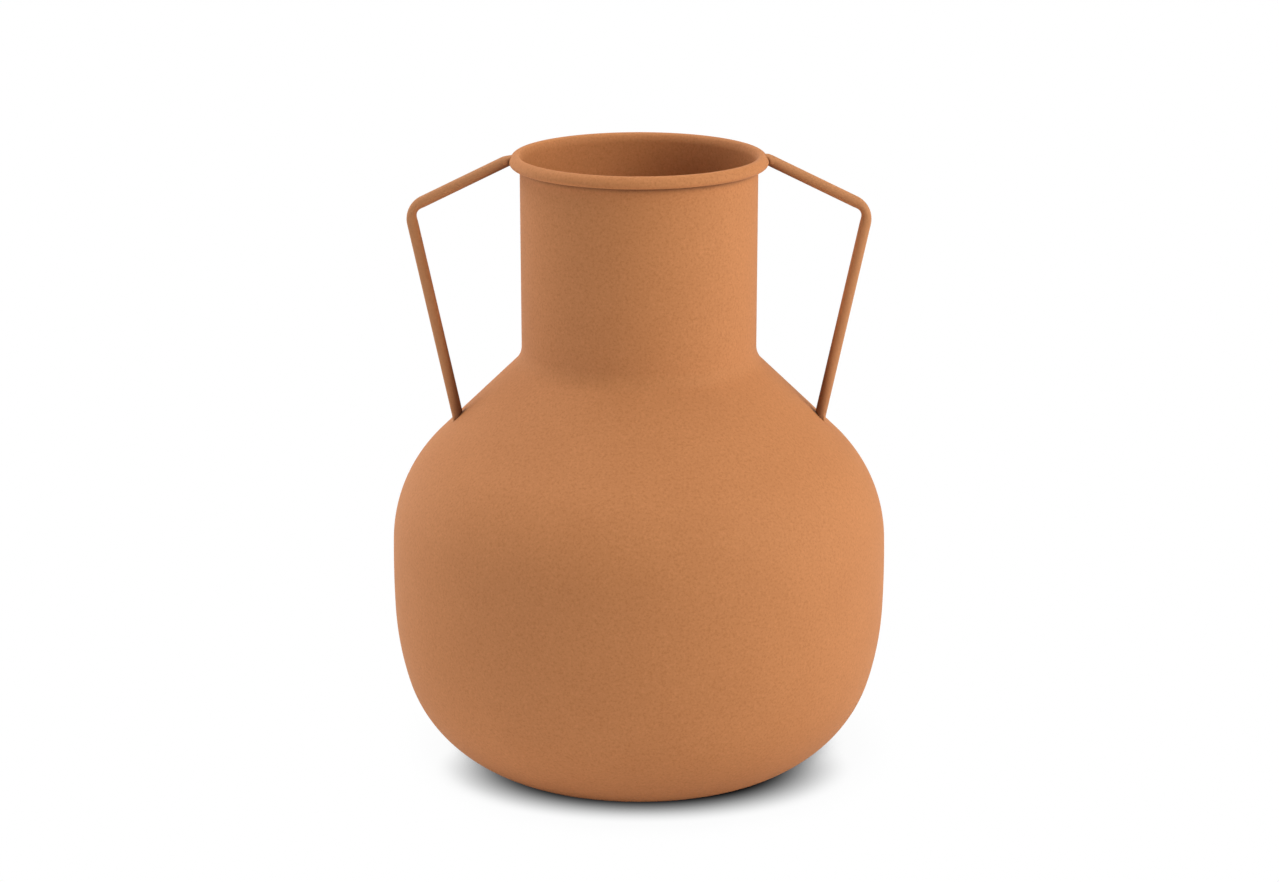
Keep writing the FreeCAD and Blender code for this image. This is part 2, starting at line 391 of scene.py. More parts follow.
def add_piece(name, bm, material, nodes):
    """Close and smooth a mesh, and stand it in for its nodes."""
    bmesh.ops.remove_doubles(bm, verts=bm.verts[:], dist=SAME_POINT)
    bmesh.ops.recalc_face_normals(bm, faces=bm.faces[:])
    open_edges = sum(not edge.is_manifold for edge in bm.edges)
    if open_edges:
        raise RuntimeError(f"{name} has {open_edges} open edges")
    for face in bm.faces:
        face.smooth = True
    for edge in bm.edges:
        edge.smooth = edge.calc_face_angle() < SHARP_EDGE
    mesh = bpy.data.meshes.new(name)
    bm.to_mesh(mesh)
    bm.free()
    mesh.materials.append(material)
    piece = bpy.data.objects.new(name, mesh)
    bpy.context.scene.collection.objects.link(piece)
    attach(piece, "root")
    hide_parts(*nodes)


def add_turned(scene, node, bm):
    """Turn a section about the vase's axis, and add it as the coated piece of its node."""
    turn_on_axis(bm, scene.urn_body.turn_steps)
    add_piece(f"{node}_dressed", bm, body_coat(scene), [node])


def add_pair(name, draw, material):
    """Draw a piece of the right handle, and its mirror image on the left."""
    for side, flip in (("right", 1), ("left", -1)):
        bm = bmesh.new()
        draw(bm, side)
        bmesh.ops.scale(bm, vec=(flip, 1, 1), verts=bm.verts[:])
        add_piece(f"{side}_{name}_dressed", bm, material, [f"{side}_{name}"])


# Shader node groups


def new_group(name, inputs, outputs):
    """Empty shader group with named sockets, each given as (name, kind, default)."""
    group = bpy.data.node_groups.new(name, "ShaderNodeTree")
    for socket, kind, default in inputs:
        made = group.interface.new_socket(
            name=socket, in_out="INPUT", socket_type="NodeSocket" + kind
        )
        if default is not None:
            made.default_value = default
    for socket, kind in outputs:
        group.interface.new_socket(
            name=socket, in_out="OUTPUT", socket_type="NodeSocket" + kind
        )
    return group


class Nodes:
    """Short way to place and wire nodes of one tree."""

    # Sockets of a Mix node that carry colours
    FIRST_COLOUR = 6
    SECOND_COLOUR = 7
    MIXED_COLOUR = 2

    def __init__(self, tree):
        self.tree = tree

    def add(self, kind, settings=None, **inputs):
        node = self.tree.nodes.new("ShaderNode" + kind)
        for name, value in (settings or {}).items():
            setattr(node, name, value)
        for name, value in inputs.items():
            self.feed(node.inputs[name.replace("_", " ")], value)
        return node

    def feed(self, socket, value):
        if isinstance(value, bpy.types.NodeSocket):
            self.tree.links.new(value, socket)
        else:
            socket.default_value = value

    def maths(self, operation, first, second=0.0, clamp=False):
        node = self.tree.nodes.new("ShaderNodeMath")
        node.operation = operation
        node.use_clamp = clamp
        self.feed(node.inputs[0], first)
        self.feed(node.inputs[1], second)
        return node.outputs[0]

    def blend(self, factor, first, second):
        """Mix of two colours."""
        node = self.tree.nodes.new("ShaderNodeMix")
        node.data_type = "RGBA"
        self.feed(node.inputs[0], factor)
        self.feed(node.inputs[self.FIRST_COLOUR], first)
        self.feed(node.inputs[self.SECOND_COLOUR], second)
        return node.outputs[self.MIXED_COLOUR]

    def between(self, value, low, high, to_low=0.0, to_high=1.0):
        """A value mapped smoothly from one range to another."""
        node = self.tree.nodes.new("ShaderNodeMapRange")
        node.interpolation_type = "SMOOTHSTEP"
        for index, item in enumerate((value, low, high, to_low, to_high)):
            self.feed(node.inputs[index], item)
        return node.outputs[0]

    def length(self, vector):
        node = self.add("VectorMath", {"operation": "LENGTH"})
        self.feed(node.inputs[0], vector)
        return node.outputs["Value"]

    def noise(self, vector, scale, detail=2.0, roughness=0.5):
        node = self.add(
            "TexNoise", Vector=vector, Scale=scale, Detail=detail, Roughness=roughness
        )
        return node.outputs[0]


# The coat's relief: noise scale of the specks and of the clouds against that of the grains, the
# shares of grains and specks in it, and the heights between which pits, crests and clouds set in
SPECK_SCALE = 2.3
CLOUD_SCALE = 0.045
GRAIN_SHARE = 0.65
SPECK_SHARE = 0.35
PIT_HEIGHTS = (0.50, 0.34)
CREST_HEIGHTS = (0.52, 0.68)
CLOUD_HEIGHTS = (0.62, 0.38)


def powder_grain_group():
    """Fine-textured powder coat: rounded grains, pits between them and a faint cloudiness."""
    group = bpy.data.node_groups.get("Powder Grain")
    if group:
        return group
    group = new_group(
        "Powder Grain",
        (
            ("Vector", "Vector", None),
            ("Tone", "Color", (0.5, 0.5, 0.5, 1)),
            ("Pit Tone", "Color", (0.3, 0.3, 0.3, 1)),
            ("Crest Tone", "Color", (0.7, 0.7, 0.7, 1)),
            ("Grain Size", "Float", 0.001),
            ("Contrast", "Float", 0.5),
            ("Cloudiness", "Float", 0.2),
            ("Roughness", "Float", 0.6),
            ("Roughness Swing", "Float", 0.1),
        ),
        (("Color", "Color"), ("Roughness", "Float"), ("Height", "Float")),
    )
    n = Nodes(group)
    into = group.nodes.new("NodeGroupInput")
    out = group.nodes.new("NodeGroupOutput")
    grain_scale = n.maths("DIVIDE", 1.0, into.outputs["Grain Size"])
    speck_scale = n.maths("MULTIPLY", grain_scale, SPECK_SCALE)
    cloud_scale = n.maths("MULTIPLY", grain_scale, CLOUD_SCALE)
    place = into.outputs["Vector"]
    grains = n.noise(place, grain_scale, detail=1.5, roughness=0.55)
    specks = n.noise(place, speck_scale, detail=1.0)
    clouds = n.noise(place, cloud_scale, detail=3.0, roughness=0.6)
    relief = n.maths(
        "ADD", n.maths("MULTIPLY", grains, GRAIN_SHARE), n.maths("MULTIPLY", specks, SPECK_SHARE)
    )
    pits = n.maths("MULTIPLY", n.between(relief, *PIT_HEIGHTS), into.outputs["Contrast"])
    crests = n.maths("MULTIPLY", n.between(relief, *CREST_HEIGHTS), into.outputs["Contrast"])
    drift = n.maths("MULTIPLY", n.between(clouds, *CLOUD_HEIGHTS), into.outputs["Cloudiness"])
    tone = n.blend(pits, into.outputs["Tone"], into.outputs["Pit Tone"])
    tone = n.blend(crests, tone, into.outputs["Crest Tone"])
    tone = n.blend(drift, tone, into.outputs["Pit Tone"])
    swing = n.maths("MULTIPLY", n.maths("SUBTRACT", specks, 0.5), into.outputs["Roughness Swing"])
    n.feed(out.inputs["Color"], tone)
    n.feed(out.inputs["Roughness"], n.maths("ADD", into.outputs["Roughness"], swing, clamp=True))
    n.feed(out.inputs["Height"], relief)
    return group


# Share of open air at which the painted shade in the coat sets in, and at which it is darkest
PAINTED_SHADE_OPENNESS = (0.93, 0.45)


def painted_shade_group():
    """Painted shade: the coat's colour darkened where little open air is left in front of it."""
    group = bpy.data.node_groups.get("Crevice Shade")
    if group:
        return group
    group = new_group(
        "Crevice Shade",
        (
            ("Color", "Color", (0.5, 0.5, 0.5, 1)),
            ("Openness", "Float", 1.0),
            ("Crevice Tone", "Color", (0.2, 0.2, 0.2, 1)),
            ("Strength", "Float", 0.8),
        ),
        (("Color", "Color"),),
    )
    n = Nodes(group)
    into = group.nodes.new("NodeGroupInput")
    out = group.nodes.new("NodeGroupOutput")
    closeness = n.between(into.outputs["Openness"], *PAINTED_SHADE_OPENNESS)
    shade_amount = n.maths("MULTIPLY", closeness, into.outputs["Strength"])
    tone = n.blend(shade_amount, into.outputs["Color"], into.outputs["Crevice Tone"])
    n.feed(out.inputs["Color"], tone)
    return group


CLOUDINESS = 0.08
ROUGHNESS_SWING = 0.25
PAINTED_SHADE_SAMPLES = 12
LUMP_SCALE = 900.0

# Coat of each kind of piece: contrast of its grain, strength of the shade painted into its
# corners, and height of the slow waves of a weld in metres
BODY_COAT = (0.42, 0.95, 0.0)
ROD_COAT = (0.2, 0.85, 0.0)
WELD_COAT = (0.3, 0.4, 0.00012)


def coat_material(name, look, tone, reach, kind):
    """Powder coat on one kind of piece, with shade painted into its corners."""
    contrast, painted_corner_shade, lumps = kind
    material = bpy.data.materials.get(name)
    if material:
        return material
    material = bpy.data.materials.new(name)
    material.use_nodes = True
    tree = material.node_tree
    shader = tree.nodes["Principled BSDF"]
    n = Nodes(tree)
    place = n.add("Mapping", Vector=n.add("TexCoord").outputs["Object"])
    grain = n.add("Group", {"node_tree": powder_grain_group()})
    values = {
        "Vector": place.outputs[0],
        "Tone": tone,
        "Pit Tone": look.speck,
        "Crest Tone": look.bloom,
        "Grain Size": look.grain_size,
        "Contrast": contrast,
        "Cloudiness": CLOUDINESS,
        "Roughness": look.roughness,
        "Roughness Swing": ROUGHNESS_SWING,
    }
    for socket, value in values.items():
        n.feed(grain.inputs[socket], value)
    height = n.maths("MULTIPLY", grain.outputs["Height"], look.grain_height)
    if lumps:
        waves = n.noise(place.outputs[0], LUMP_SCALE, detail=1.0)
        height = n.maths("ADD", height, n.maths("MULTIPLY", waves, lumps))
    bump = n.add("Bump", Height=height)
    bump.inputs["Distance"].default_value = 1.0
    bump.inputs["Strength"].default_value = 1.0
    # Painted shade: the coat's colour is darkened where other surfaces are near
    open_air = n.add("AmbientOcclusion", {"samples": PAINTED_SHADE_SAMPLES}, Distance=reach)
    shaded_corners = n.add("Group", {"node_tree": painted_shade_group()}, Color=grain.outputs["Color"])
    n.feed(shaded_corners.inputs["Openness"], open_air.outputs["AO"])
    n.feed(shaded_corners.inputs["Crevice Tone"], look.painted_corner_shade)
    n.feed(shaded_corners.inputs["Strength"], painted_corner_shade)
    n.feed(shader.inputs["Base Color"], shaded_corners.outputs["Color"])
    n.feed(shader.inputs["Roughness"], grain.outputs["Roughness"])
    n.feed(shader.inputs["Normal"], bump.outputs[0])
    shader.inputs["Specular IOR Level"].default_value = look.gloss
    return material


# The drawn wire: noise scale of its fine lines along each axis, their relief in metres, limits
# and roughness, and the noise scale, limits and tone of the dull film on it
LINE_SCALE = (300.0, 300.0, 9000.0)
LINE_RELIEF = 0.00001
LINE_LIMITS = (0.3, 0.7)
LINE_ROUGHNESS = (0.3, 0.5)
FILM_SCALE = 120.0
FILM_LIMITS = (0.45, 0.65)
FILM_TONE = (0.25, 0.23, 0.21, 1.0)


def wire_material(look):
    """Drawn steel wire: fine lines along the ring and a faint dull film."""
    material = bpy.data.materials.new("Drawn Rim Wire")
    material.use_nodes = True
    tree = material.node_tree
    shader = tree.nodes["Principled BSDF"]
    n = Nodes(tree)
    place = n.add("Mapping", Vector=n.add("TexCoord").outputs["Object"])
    place.inputs["Scale"].default_value = LINE_SCALE
    lines = n.noise(place.outputs[0], 1.0, detail=2.0)
    film = n.noise(n.add("TexCoord").outputs["Object"], FILM_SCALE, detail=3.0)
    dull = n.blend(n.between(film, *FILM_LIMITS), look.wire_tone, FILM_TONE)
    n.feed(shader.inputs["Base Color"], dull)
    n.feed(shader.inputs["Roughness"], n.between(lines, *LINE_LIMITS, *LINE_ROUGHNESS))
    bump = n.add("Bump", Height=n.maths("MULTIPLY", lines, LINE_RELIEF))
    bump.inputs["Distance"].default_value = 1.0
    n.feed(shader.inputs["Normal"], bump.outputs[0])
    shader.inputs["Metallic"].default_value = 1.0
    return material


def body_coat(scene):
    look = scene.urn_coat
    return coat_material("Body Powder Coat", look, look.tone, look.corner_shade_reach, BODY_COAT)


def rod_coat(scene):
    look = scene.urn_coat
    return coat_material("Rod Powder Coat", look, look.rod_tone, look.rod_shade_reach, ROD_COAT)


def weld_coat(scene):
    look = scene.urn_coat
    return coat_material("Weld Powder Coat", look, look.rod_tone, look.corner_shade_reach, WELD_COAT)


# Operators: one for each piece or group of like pieces


class URN_OT_bowl(Operator):
    """Spin the lower bowl: flat base, rounded heel and the wall up to the seam"""

    bl_idname = "urn.bowl"
    bl_label = "Lower Bowl"

    def execute(self, context):
        s = context.scene.urn_body
        o = body_outline(s)
        bm = bmesh.new()
        below = (
            (o.toe, QUARTER_TURN - s.heel_angle),
            (o.heel, s.heel_angle - s.haunch_angle),
            (o.haunch, s.haunch_angle - s.wall_angle),
            (o.wall, s.wall_angle + o.seam_low_angle),
        )
        point = line_on(bm, bm.verts.new(ORIGIN), at(o.toe.x, 0), parts=BASE_PARTS)
        for centre, turn in below:
            point = arc_on(bm, point, centre, turn, s.arc_step)
        point = line_on(bm, point, polar(o.wall, s.wall_radius - s.sheet, o.seam_low_angle))
        for centre, turn in reversed(below):
            point = arc_on(bm, point, centre, -turn, INNER_COARSER * s.arc_step)
        line_on(bm, point, at(0, s.sheet), parts=INNER_BASE_PARTS)
        add_turned(context.scene, "lower_bowl", bm)
        return {"FINISHED"}


class URN_OT_belly_seam(Operator):
    """Lay the ring weld between bowl and shoulder, ground flush outside"""

    bl_idname = "urn.belly_seam"
    bl_label = "Belly Seam"

    def execute(self, context):
        s = context.scene.urn_body
        o = body_outline(s)
        bm = bmesh.new()
        turn = s.seam_angle - o.seam_low_angle
        inside = s.wall_radius - s.sheet
        crown = polar(o.wall, inside - s.seam_crown, (s.seam_angle + o.seam_low_angle) / 2)
        half = s.seam_gap / 2
        crown_radius = (half**2 + s.seam_crown**2) / (2 * s.seam_crown)
        centre = crown + (crown - o.wall).normalized() * crown_radius
        start = polar(o.wall, s.wall_radius, o.seam_low_angle)
        point = arc_on(bm, bm.verts.new(start), o.wall, turn, s.arc_step)
        high = polar(o.wall, inside, s.seam_angle)
        low = polar(o.wall, inside, o.seam_low_angle)
        crown_turn = (high - centre).angle(low - centre)
        point = line_on(bm, point, high)
        point = arc_on(bm, point, centre, crown_turn, s.arc_step / CROWN_FINER)
        line_on(bm, point, start)
        add_turned(context.scene, "belly_weld", bm)
        return {"FINISHED"}


class URN_OT_shoulder(Operator):
    """Spin the shoulder, its straight slope and the collar under the neck"""

    bl_idname = "urn.shoulder"
    bl_label = "Shoulder"

    def execute(self, context):
        s = context.scene.urn_body
        o = body_outline(s)
        bm = bmesh.new()
        round_turn = s.shoulder_angle - s.seam_angle
        start = polar(o.shoulder, s.shoulder_radius, s.seam_angle)
        point = arc_on(bm, bm.verts.new(start), o.shoulder, round_turn, s.arc_step)
        point = line_on(bm, point, o.slope_high, parts=SLOPE_PARTS)
        point = arc_on(bm, point, o.collar, -s.shoulder_angle, s.arc_step / COLLAR_FINER)
        point = line_on(bm, point, at(s.neck_radius - s.sheet, o.collar_top))
        point = arc_on(bm, point, o.collar, s.shoulder_angle, s.arc_step / INNER_COLLAR_FINER)
        inner_slope = polar(o.shoulder, s.shoulder_radius - s.sheet, s.shoulder_angle)
        point = line_on(bm, point, inner_slope, parts=INNER_SLOPE_PARTS)
        point = arc_on(bm, point, o.shoulder, -round_turn, INNER_COARSER * s.arc_step)
        line_on(bm, point, start)
        add_turned(context.scene, "shoulder_dome", bm)
        return {"FINISHED"}


class URN_OT_neck(Operator):
    """Turn the neck, with its top edge curled outwards over the rim wire"""

    bl_idname = "urn.neck"
    bl_label = "Neck and Rolled Rim"

    def execute(self, context):
        s = context.scene.urn_body
        o = body_outline(s)
        bm = bmesh.new()
        fine = s.arc_step / RIM_FINER
        inner = s.neck_radius - s.sheet
        arcs, into_sheet = rim_arcs(s, o)
        start = at(s.neck_radius, o.neck_foot)
        flare_below = at(s.neck_radius, o.flare_foot - s.sheet)
        point = line_on(bm, bm.verts.new(start), flare_below, parts=NECK_PARTS)
        point = line_on(bm, point, at(inner + s.curl_sheet, o.flare_foot), parts=THIN_PARTS)
        for centre, turn in arcs:
            point = arc_on(bm, point, centre, -turn, fine)
        edge = point.co - into_sheet * s.curl_sheet
        point = line_on(bm, point, edge, parts=THIN_PARTS)
        for centre, turn in reversed(arcs):
            point = arc_on(bm, point, centre, turn, fine)
        point = line_on(bm, point, at(inner, o.neck_foot), parts=NECK_PARTS)
        line_on(bm, point, start)
        add_turned(context.scene, "neck_tube", bm)
        return {"FINISHED"}


class URN_OT_neck_seam(Operator):
    """Lay the ring weld between collar and neck, dressed flush on both sides"""

    bl_idname = "urn.neck_seam"
    bl_label = "Neck Seam"

    def execute(self, context):
        s = context.scene.urn_body
        o = body_outline(s)
        bm = bmesh.new()
        start = at(s.neck_radius, o.collar_top)
        point = line_on(bm, bm.verts.new(start), at(s.neck_radius, o.neck_foot))
        point = line_on(bm, point, at(s.neck_radius - s.sheet, o.neck_foot))
        point = line_on(bm, point, at(s.neck_radius - s.sheet, o.collar_top))
        line_on(bm, point, start)
        add_turned(context.scene, "neck_weld", bm)
        return {"FINISHED"}


class URN_OT_rim_wire(Operator):
    """Give the wire inside the curl its drawn steel finish"""

    bl_idname = "urn.rim_wire"
    bl_label = "Rim Wire"

    def execute(self, context):
        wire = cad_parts["rim_wire"]
        wire.data.materials.clear()
        wire.data.materials.append(wire_material(context.scene.urn_coat))
        return {"FINISHED"}


class URN_OT_handles(Operator):
    """Bend the two rod handles from the rim down to the shoulder"""

    bl_idname = "urn.handles"
    bl_label = "Rod Handles"

    def melt_end(self, bm, sizes, h):
        """Take down the rod's upper side where the left weld has melted it."""
        lift = outward_of(h.upper)
        point = h.rim_joint + h.upper * sizes.melt_length + lift * sizes.rod_radius
        cut_off(bm, point, Matrix.Rotation(-sizes.melt_angle, 3, ACROSS) @ lift)

    def execute(self, context):
        body = context.scene.urn_body
        s = context.scene.urn_handles
        o = body_outline(body)
        h = handle_line(body, s, o)
        thick = 2 * s.rod_radius

        def draw(bm, side):
            start = h.rim_joint + h.upper * s.rim_setback
            place = facing(h.upper, outward_of(h.upper), start)
            ring, edges = first_ring(bm, s.rod_radius, s.ring_steps, place)
            bmesh.ops.contextual_create(bm, geom=edges)
            ring, edges = next_ring(bm, edges, h.bend_start - start)
            bmesh.ops.spin(
                bm,
                geom=ring + edges,
                cent=h.bend_centre,
                axis=ACROSS,
                angle=h.turn,
                steps=s.bend_steps,
            )
            for number in range(1, s.bend_steps):
                part = number / s.bend_steps
                ease = math.sin(math.pi * part) ** 2
                run = Matrix.Rotation(h.turn * part, 4, ACROSS) @ h.upper
                outward = outward_of(run)
                place = facing(run, outward, h.bend_centre + outward * s.bend_radius)
                flat = (thick - s.bend_pinch * ease) / thick
                wide = (thick + s.bend_spread * ease) / thick
                bmesh.ops.scale(
                    bm,
                    vec=(flat, wide, 1),
                    space=place.inverted(),
                    verts=in_plane(bm, place, 2 * thick, SAME_PLANE),
                )
            end = facing(h.lower, outward_of(h.lower), h.bend_end)
            last = in_plane(bm, end, thick, SAME_POINT)
            edges = [e for e in bm.edges if e.is_boundary and all(v in last for v in e.verts)]
            reach = h.foot_joint + h.lower * thick - h.bend_end
            next_ring(bm, edges, reach)
            outer = h.foot_joint + (o.slope_low - o.slope_high).normalized() * s.rod_radius
            normal = Matrix.Rotation(s.foot_lift, 3, ACROSS) @ o.slope_normal
            cut_off(bm, outer - o.slope_normal * (body.sheet / 2), -normal)
            if side == "left":
                self.melt_end(bm, s, h)

        add_pair("handle", draw, rod_coat(context.scene))
        return {"FINISHED"}


# Rings of the welds, in rod radii: distance up the rod, shift to the heaped side, half height
# and half width

RIM_WELD_SHARES = {
    "left": (
        (1.38, 0.00, 0.96, 0.96),
        (1.16, 0.036, 0.973, 1.013),
        (0.93, 0.044, 0.942, 1.05),
        (0.55, 0.067, 0.853, 1.076),
        (0.22, 0.156, 0.676, 1.067),
        (-0.04, 0.244, 0.511, 1.044),
        (-0.32, 0.222, 0.444, 1.022),
        (-0.72, 0.111, 0.444, 0.978),
        (-1.05, 0.044, 0.40, 0.889),
    ),
    "right": (
        (1.38, 0.00, 0.96, 0.96),
        (0.93, 0.03, 0.97, 1.02),
        (0.55, 0.06, 0.92, 1.05),
        (0.22, 0.17, 0.80, 1.06),
        (-0.04, 0.30, 0.67, 1.06),
        (-0.32, 0.33, 0.61, 1.04),
        (-0.72, 0.32, 0.48, 0.98),
        (-1.05, 0.26, 0.36, 0.89),
    ),
}
FOOT_WELD_SHARES = (
    (1.00, 0.33, 0.63, 0.90),
    (0.55, 0.44, 0.54, 0.92),
    (0.20, 0.555, 0.455, 0.93),
    (-0.15, 0.62, 0.42, 0.96),
    (-0.45, 0.70, 0.40, 1.00),
    (-0.75, 0.78, 0.46, 1.12),
    (-1.05, 0.88, 0.54, 1.24),
    (-1.50, 1.02, 0.68, 1.42),
)


def draw_weld(bm, sizes, joint, run, lift, shares):
    """Weld in rings down a rod's end: run points up the rod, lift to the heaped side."""
    last = None
    for along, up, high, wide in shares:
        centre = joint + (run * along + lift * up) * sizes.rod_radius
        place = facing(-run, lift, centre)
        if last:
            ring, edges = next_ring(bm, edges, centre - last[0])
            grow = (high / last[1], wide / last[2], 1)
        else:
            ring, edges = first_ring(bm, sizes.rod_radius, sizes.ring_steps, place)
            bmesh.ops.contextual_create(bm, geom=edges)
            grow = (high, wide, 1)
        bmesh.ops.scale(bm, vec=grow, space=place.inverted(), verts=ring)
        last = (centre, high, wide)
    bmesh.ops.contextual_create(bm, geom=edges)


class URN_OT_rim_welds(Operator):
    """Heap the weld over each rod where it meets the rim bead"""

    bl_idname = "urn.rim_welds"
    bl_label = "Rim Welds"

    def execute(self, context):
        body = context.scene.urn_body
        s = context.scene.urn_handles
        o = body_outline(body)
        h = handle_line(body, s, o)

        def draw(bm, side):
            draw_weld(bm, s, h.rim_joint, h.upper, outward_of(h.upper), RIM_WELD_SHARES[side])

        add_pair("rim_weld", draw, weld_coat(context.scene))
        return {"FINISHED"}


class URN_OT_foot_welds(Operator):
    """Flare the weld of each rod's foot out onto the shoulder"""

    bl_idname = "urn.foot_welds"
    bl_label = "Foot Welds"

    def execute(self, context):
        body = context.scene.urn_body
        s = context.scene.urn_handles
        o = body_outline(body)
        h = handle_line(body, s, o)

        def draw(bm, side):
            draw_weld(bm, s, h.foot_joint, -h.lower, outward_of(h.lower), FOOT_WELD_SHARES)
            cut_off(bm, h.foot_joint - o.slope_normal * (body.sheet / 2), -o.slope_normal)

        add_pair("foot_weld", draw, weld_coat(context.scene))
        return {"FINISHED"}


SENSOR_WIDTH = 36.0
LIGHT_AIM = Vector((0, 0, 0.12))
LIGHT_DISTANCE = 1.3
WHITE = (1.0, 1.0, 1.0)
WARM_WHITE = (1.0, 0.975, 0.88)

# The lights: name, setting with its power, width and height in metres, bearing in degrees from
# the camera's side towards the right, rise in degrees over the floor, and tint
SOFT_BOXES = (
    ("Key Box", "key_power", (0.8, 0.8), 60, 32, WARM_WHITE),
    ("Side Box", "side_power", (0.8, 0.4), 90, 6, WHITE),
    ("High Box", "high_power", (0.8, 0.8), -120, 60, WHITE),
    ("Edge Box", "edge_power", (0.8, 0.4), -120, 6, WHITE),
    ("Top Box", "top_power", (1.0, 1.0), 0, 88, WHITE),
    ("Fill Box", "fill_power", (0.8, 0.4), -60, 6, WHITE),
)


class URN_OT_studio(Operator):
    """Set up the camera, the soft lights, the white room and the floor"""

    bl_idname = "urn.studio"
    bl_label = "Studio"

    def execute(self, context):
        scene = context.scene
        s = scene.urn_studio
        lens = bpy.data.cameras.new("Camera")
        lens.lens = s.camera_lens
        lens.sensor_fit = "HORIZONTAL"
        lens.sensor_width = SENSOR_WIDTH
        lens.shift_x = s.camera_shift
        camera = bpy.data.objects.new("Camera", lens)
        camera.location = (0, -s.camera_distance, s.camera_height)
        camera.rotation_euler = (QUARTER_TURN - s.camera_pitch, 0, 0)
        scene.collection.objects.link(camera)
        scene.camera = camera
        scene.view_settings.view_transform = "Standard"
        for name, setting, size, bearing, rise, tint in SOFT_BOXES:
            soft_box(scene, name, getattr(s, setting), size, bearing, rise, tint)
        white_room(scene, s.world_strength)
        floor(scene, s.shade_reach, s.floor_bounce)
        return {"FINISHED"}


def soft_box(scene, name, watts, size, bearing, rise, tint):
    """Rectangular soft light aimed at the vase from a bearing and a rise."""
    light = bpy.data.lights.new(name, "AREA")
    light.shape = "RECTANGLE"
    light.size, light.size_y = size
    light.energy = watts
    light.color = tint
    box = bpy.data.objects.new(name, light)
    sideways = Matrix.Rotation(math.radians(bearing), 3, UP)
    out = sideways @ Matrix.Rotation(math.radians(-rise), 3, "X") @ -ACROSS
    box.location = LIGHT_AIM + out * LIGHT_DISTANCE
    box.rotation_euler = (-out).to_track_quat("-Z", "Y").to_euler()
    scene.collection.objects.link(box)


def seen_rays(n):
    """1 for what the camera sees, straight or by gloss or glass, and 0 for matt bounces."""
    path = n.add("LightPath")
    seen = n.maths("ADD", path.outputs["Is Camera Ray"], path.outputs["Is Glossy Ray"], clamp=True)
    return n.maths("ADD", seen, path.outputs["Is Transmission Ray"], clamp=True)


def white_room(scene, strength):
    """Even white room, pure white behind the vase."""
    world = bpy.data.worlds.new("White Room")
    world.use_nodes = True
    scene.world = world
    tree = world.node_tree
    tree.nodes.clear()
    n = Nodes(tree)
    room = n.add("Background", Color=(1, 1, 1, 1), Strength=strength)
    backdrop = n.add("Background", Color=(1, 1, 1, 1), Strength=1.0)
    mix = n.add("MixShader")
    n.feed(mix.inputs[0], seen_rays(n))
    n.feed(mix.inputs[1], room.outputs[0])
    n.feed(mix.inputs[2], backdrop.outputs[0])
    out = tree.nodes.new("ShaderNodeOutputWorld")
    n.feed(out.inputs["Surface"], mix.outputs[0])


# Painted shadow on the floor: half width and half depth in metres of the patch under the vase
# where it is painted, and its shifts right and forward; then where its edge starts and ends, in
# its own half widths, and the share of painted shadow outside it
SHADE_PATCH = (0.0785, 0.0525, 0.0015, 0.029)
PATCH_EDGE = (0.65, 1.10)
OUTSIDE_SHADE = 0.03

# Shares of open sky over the floor between which the patch's painted shadow fades out, the same
# for the narrow painted shadow at the vase's foot, the strength of that one, and how far the
# floor's view of the sky leans to the left
SOFT_SHADE = (0.40, 0.64)
CONTACT_SHADE = (0.05, 0.36)
CONTACT_STRENGTH = 0.9
SHADE_LEAN = -0.09
SHADE_SAMPLES = 24

FLOOR_HALF_SIZE = 6.0
FLOOR_FACES = 8
# Distances from the vase between which the floor turns pure white, in metres
WHITE_FROM = (0.30, 0.60)


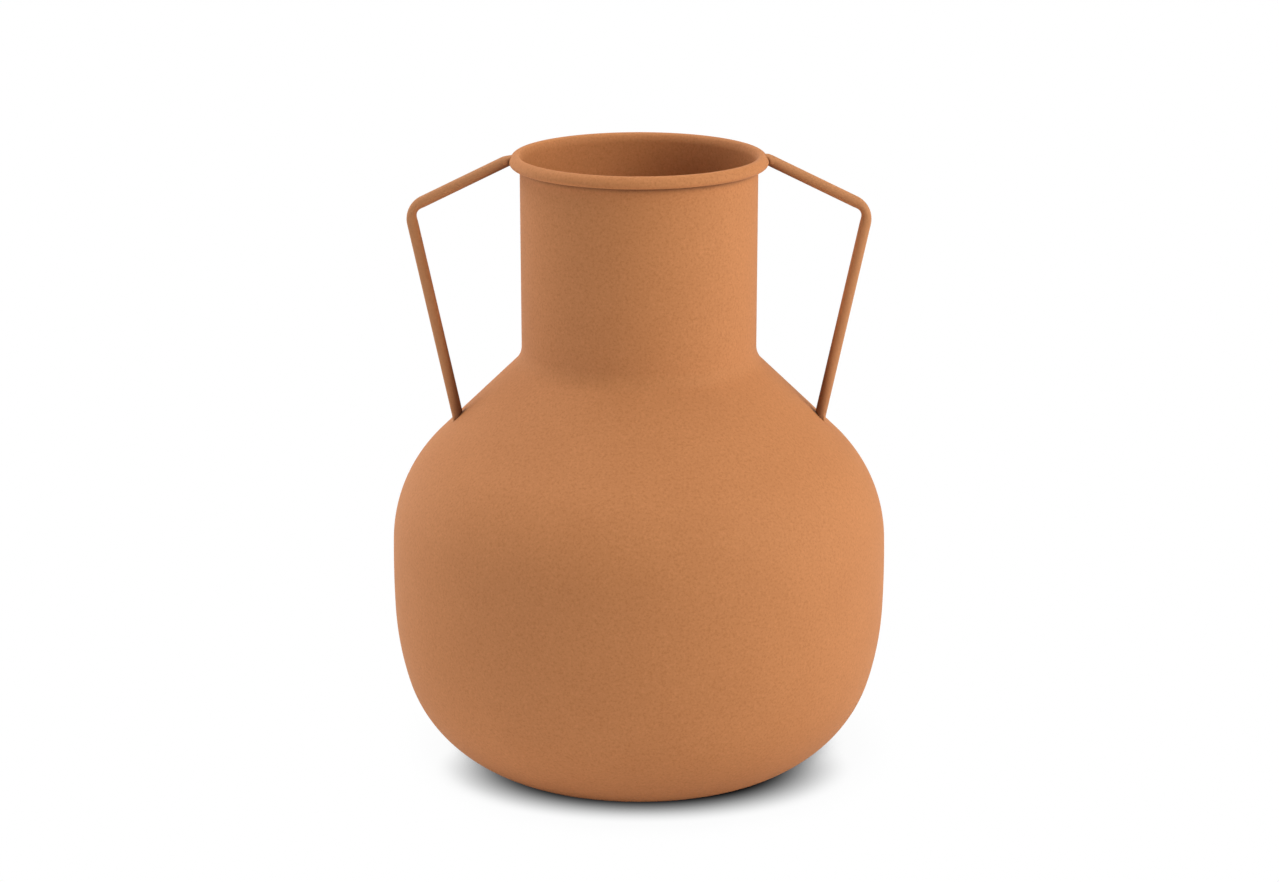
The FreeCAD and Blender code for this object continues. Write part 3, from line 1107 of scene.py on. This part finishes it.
def floor(scene, shade_reach, bounce):
    """White table top with the vase's contact shadow painted into its seen colour, pure white
    further out.
    """
    bm = bmesh.new()
    bmesh.ops.create_grid(bm, x_segments=FLOOR_FACES, y_segments=FLOOR_FACES, size=FLOOR_HALF_SIZE)
    mesh = bpy.data.meshes.new("Floor")
    bm.to_mesh(mesh)
    bm.free()
    sheet = bpy.data.objects.new("Floor", mesh)
    scene.collection.objects.link(sheet)
    material = bpy.data.materials.new("White Floor")
    material.use_nodes = True
    tree = material.node_tree
    tree.nodes.clear()
    n = Nodes(tree)
    place = n.add("TexCoord").outputs["Object"]
    distance = n.length(place)
    # Painted shadow: the colour the camera sees on the floor is darkened where the vase leaves
    # little open sky and inside a patch under the vase
    lean = n.add("CombineXYZ", X=SHADE_LEAN, Y=0.0, Z=1.0)
    sky = n.add("AmbientOcclusion", {"samples": SHADE_SAMPLES}, Distance=shade_reach)
    n.feed(sky.inputs["Normal"], lean.outputs[0])
    covered = n.between(sky.outputs["AO"], *SOFT_SHADE, 1.0, 0.0)
    touching = n.between(sky.outputs["AO"], *CONTACT_SHADE, CONTACT_STRENGTH, 0.0)
    width, depth, right, front = SHADE_PATCH
    patch = n.add("Mapping", Vector=place)
    patch.inputs["Location"].default_value = (-right / width, front / depth, 0)
    patch.inputs["Scale"].default_value = (1 / width, 1 / depth, 1)
    painted_patch = n.between(n.length(patch.outputs[0]), *PATCH_EDGE, 1.0, OUTSIDE_SHADE)
    shade = n.maths("MAXIMUM", n.maths("MULTIPLY", covered, painted_patch), touching)
    near = n.add("Emission", Color=n.maths("SUBTRACT", 1.0, shade))
    far = n.add("Emission", Color=(1, 1, 1, 1), Strength=1.0)
    seen = n.add("MixShader")
    n.feed(seen.inputs[0], n.between(distance, *WHITE_FROM))
    n.feed(seen.inputs[1], near.outputs[0])
    n.feed(seen.inputs[2], far.outputs[0])
    lit = n.add("BsdfDiffuse", Color=(bounce, bounce, bounce, 1))
    both = n.add("MixShader")
    n.feed(both.inputs[0], seen_rays(n))
    n.feed(both.inputs[1], lit.outputs[0])
    n.feed(both.inputs[2], seen.outputs[0])
    out = tree.nodes.new("ShaderNodeOutputMaterial")
    n.feed(out.inputs["Surface"], both.outputs[0])
    mesh.materials.append(material)


# Panel, registration and the run


class VIEW3D_PT_urn_vase(Panel):
    """Lists the vase's sizes, looks and building steps"""

    bl_label = "Urn Vase"
    bl_space_type = "VIEW_3D"
    bl_region_type = "UI"
    bl_category = "Urn Vase"

    def draw(self, context):
        layout = self.layout
        for group in SETTINGS:
            box = layout.box()
            settings = getattr(context.scene, group)
            for name in settings.__annotations__:
                box.prop(settings, name)
        for operator in OPERATORS:
            layout.operator(operator.bl_idname)


SETTINGS = {
    "urn_body": UrnBodySizes,
    "urn_handles": UrnHandleSizes,
    "urn_coat": UrnCoatLook,
    "urn_studio": UrnStudio,
}
OPERATORS = (
    URN_OT_bowl,
    URN_OT_belly_seam,
    URN_OT_shoulder,
    URN_OT_neck,
    URN_OT_neck_seam,
    URN_OT_rim_wire,
    URN_OT_handles,
    URN_OT_rim_welds,
    URN_OT_foot_welds,
    URN_OT_studio,
)


def register():
    for group in SETTINGS.values():
        bpy.utils.register_class(group)
    for name, group in SETTINGS.items():
        setattr(bpy.types.Scene, name, PointerProperty(type=group))
    for operator in OPERATORS:
        bpy.utils.register_class(operator)
    bpy.utils.register_class(VIEW3D_PT_urn_vase)


def unregister():
    bpy.utils.unregister_class(VIEW3D_PT_urn_vase)
    for operator in reversed(OPERATORS):
        bpy.utils.unregister_class(operator)
    for name, group in SETTINGS.items():
        delattr(bpy.types.Scene, name)
        bpy.utils.unregister_class(group)


def main():
    register()
    bpy.ops.urn.bowl()
    bpy.ops.urn.belly_seam()
    bpy.ops.urn.shoulder()
    bpy.ops.urn.neck()
    bpy.ops.urn.neck_seam()
    bpy.ops.urn.rim_wire()
    bpy.ops.urn.handles()
    bpy.ops.urn.rim_welds()
    bpy.ops.urn.foot_welds()
    bpy.ops.urn.studio()


if __name__ == "__main__":
    main()
